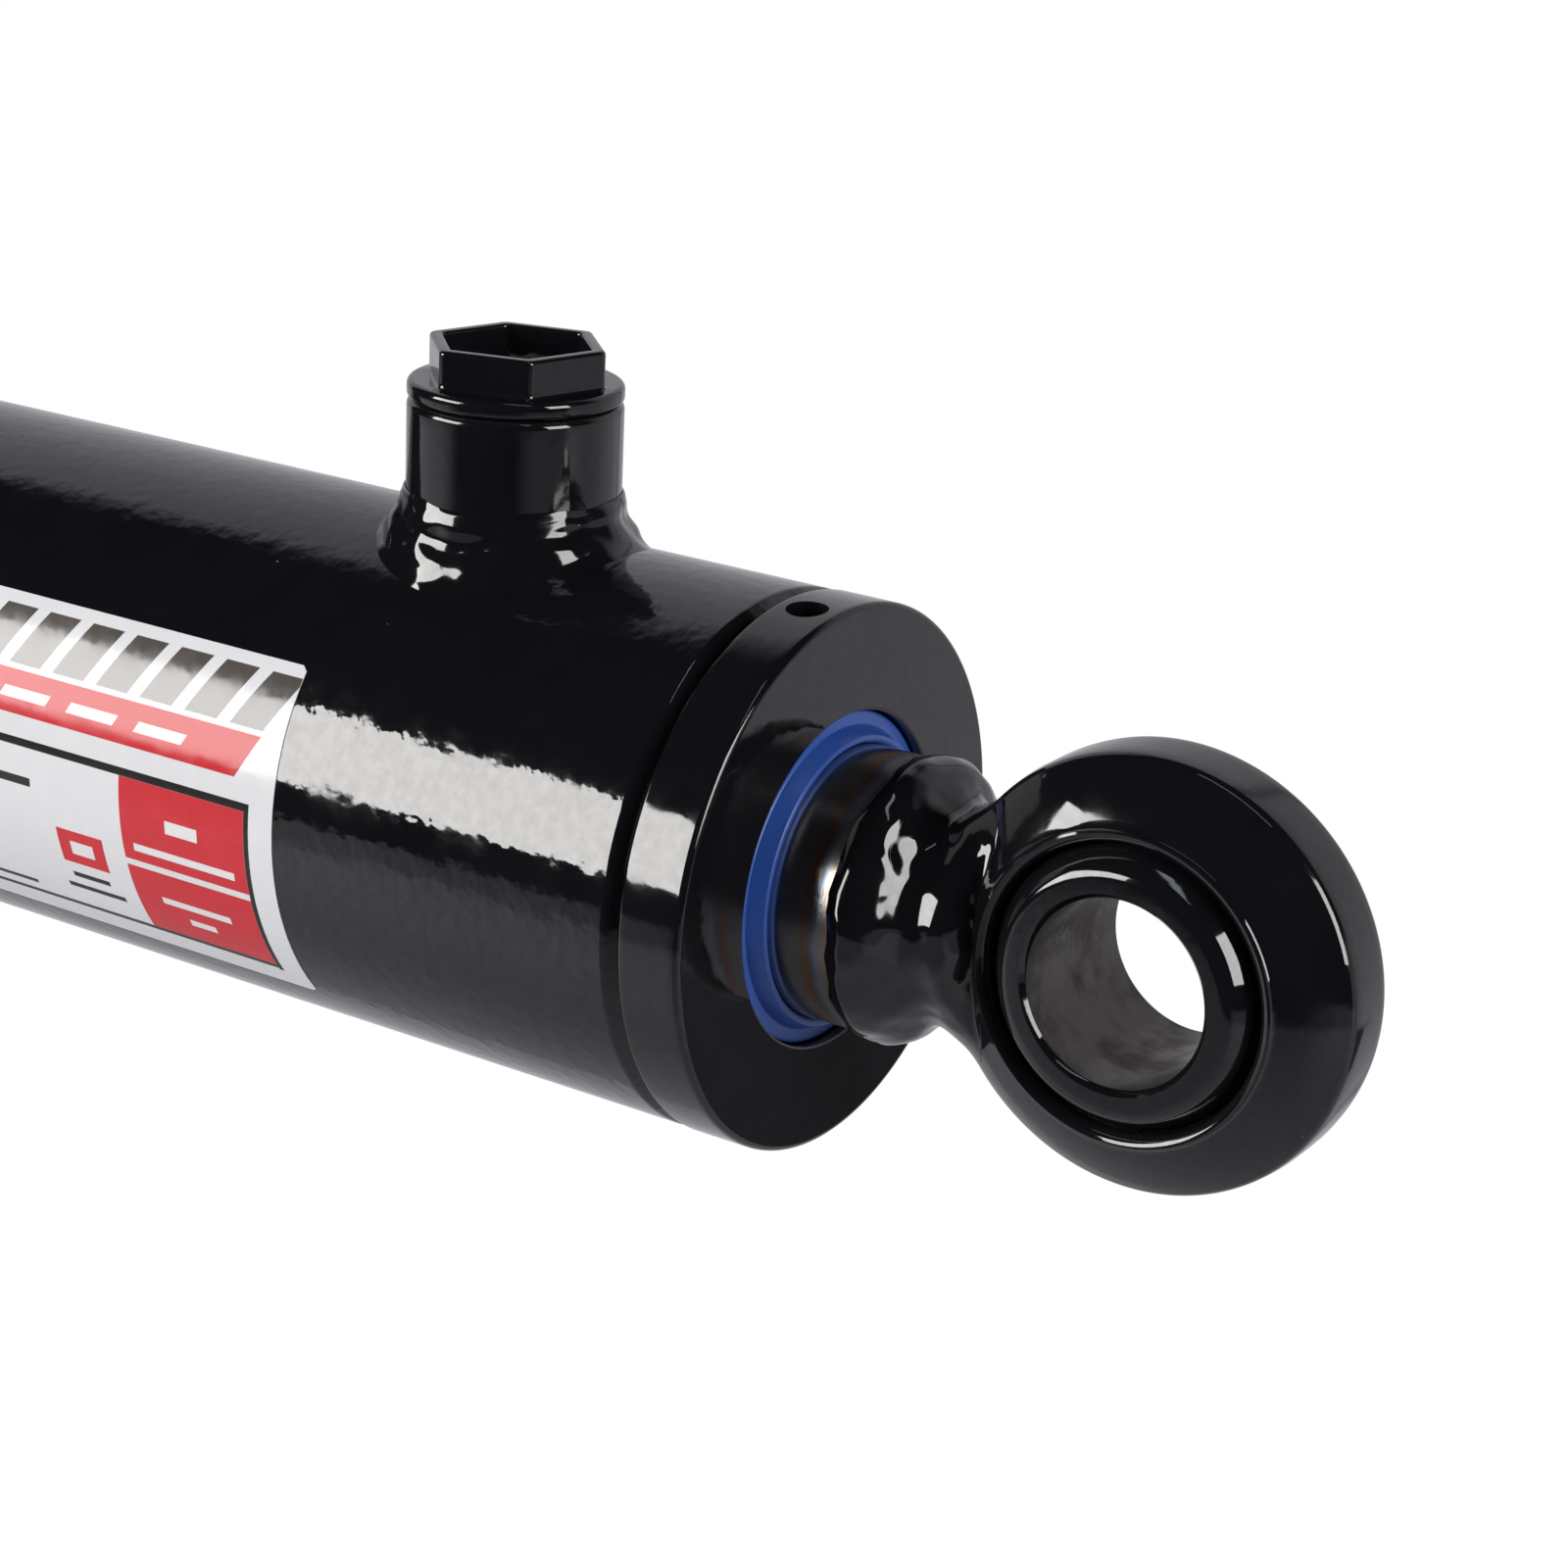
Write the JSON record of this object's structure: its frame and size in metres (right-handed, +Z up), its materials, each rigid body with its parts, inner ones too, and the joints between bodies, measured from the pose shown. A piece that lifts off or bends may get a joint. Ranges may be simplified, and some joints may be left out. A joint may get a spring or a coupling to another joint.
{
  "type": "hydraulic cylinder",
  "caption": "Welded double-acting hydraulic cylinder with a chromed rod, a swivel ball in each eye and plugged side ports.",
  "frame": {"origin": "centre of the base eye's pin bore", "axes": "+X along the rod from the base eye to the rod eye, +Y along the pins, +Z up through both ports"},
  "size_m": [0.5105, 0.0782, 0.1044],
  "materials": {
    "black_paint": "gloss enamel with light orange peel",
    "chrome_rod": "hard chrome, ground and polished",
    "machined_steel": "turned",
    "ball_steel": "painted faces, bare turned bore",
    "blue_urethane": "moulded polyurethane, semi-gloss",
    "nitrile_rubber": "moulded, satin",
    "wear_plastic": "turned phenolic, matt",
    "label_vinyl": "printed vinyl, semi-gloss, no lettering"
  },
  "bodies": {
    "barrel": {"barrel_tube": "black_paint", "base_cap": "black_paint", "base_cap_weld": "black_paint", "base_eye_ring": "black_paint", "base_eye_weld": "black_paint", "rod_port_boss": "black_paint", "rod_port_weld": "black_paint", "base_port_boss": "black_paint", "base_port_weld": "black_paint", "gland": "black_paint", "wiper_seal": "blue_urethane", "rod_seal": "blue_urethane", "gland_wear_ring": "wear_plastic", "gland_o_ring": "nitrile_rubber", "gland_backup_ring": "wear_plastic", "data_label": "label_vinyl"},
    "base_ball": {"base_eye_ball": "ball_steel"},
    "piston_seals": {"piston_seal": "nitrile_rubber", "piston_wear_ring_front": "wear_plastic", "piston_wear_ring_rear": "wear_plastic"},
    "rod": {"rod": "chrome_rod", "piston": "machined_steel", "piston_nut": "machined_steel", "piston_o_ring": "nitrile_rubber", "rod_eye_ring": "black_paint", "rod_eye_weld": "black_paint"},
    "rod_ball": {"rod_eye_ball": "ball_steel"},
    "rod_port_seal": {"rod_port_o_ring": "nitrile_rubber"},
    "rod_port_plug": {"rod_port_plug": "black_paint"},
    "base_port_seal": {"base_port_o_ring": "nitrile_rubber"},
    "base_port_plug": {"base_port_plug": "black_paint"}
  },
  "joints": [
    {"name": "rod_slide", "type": "slide", "parent": "barrel", "child": "piston_seals", "axis": [1, 0, 0], "range_m": [0, 0.2032]},
    {"name": "rod_turn", "type": "hinge", "parent": "piston_seals", "child": "rod", "pos_m": [0, 0, 0], "axis": [1, 0, 0], "continuous": true},
    {"name": "rod_ball_tilt", "type": "hinge", "parent": "rod", "child": "rod_ball", "pos_m": [0.45085, 0, 0], "axis": [0, 0, 1], "range_deg": [-12, 12]},
    {"name": "base_ball_tilt", "type": "hinge", "parent": "barrel", "child": "base_ball", "pos_m": [0, 0, 0], "axis": [0, 0, 1], "range_deg": [-12, 12]},
    {"name": "rod_port_lift", "type": "slide", "parent": "barrel", "child": "rod_port_seal", "axis": [0, 0, 1], "range_m": [0, 0.0112]},
    {"name": "rod_port_turn", "type": "hinge", "parent": "rod_port_seal", "child": "rod_port_plug", "pos_m": [0.34515, 0, 0.0573], "axis": [0, 0, 1], "range_deg": [0, 2520]},
    {"name": "base_port_lift", "type": "slide", "parent": "barrel", "child": "base_port_seal", "axis": [0, 0, 1], "range_m": [0, 0.0112]},
    {"name": "base_port_turn", "type": "hinge", "parent": "base_port_seal", "child": "base_port_plug", "pos_m": [0.072, 0, 0.0573], "axis": [0, 0, 1], "range_deg": [0, 2520]}
  ],
  "couplings": [
    {"joint": "rod_port_lift", "follows": "rod_port_turn", "m_per_rad": 0.00025266},
    {"joint": "base_port_lift", "follows": "base_port_turn", "m_per_rad": 0.00025266}
  ]
}
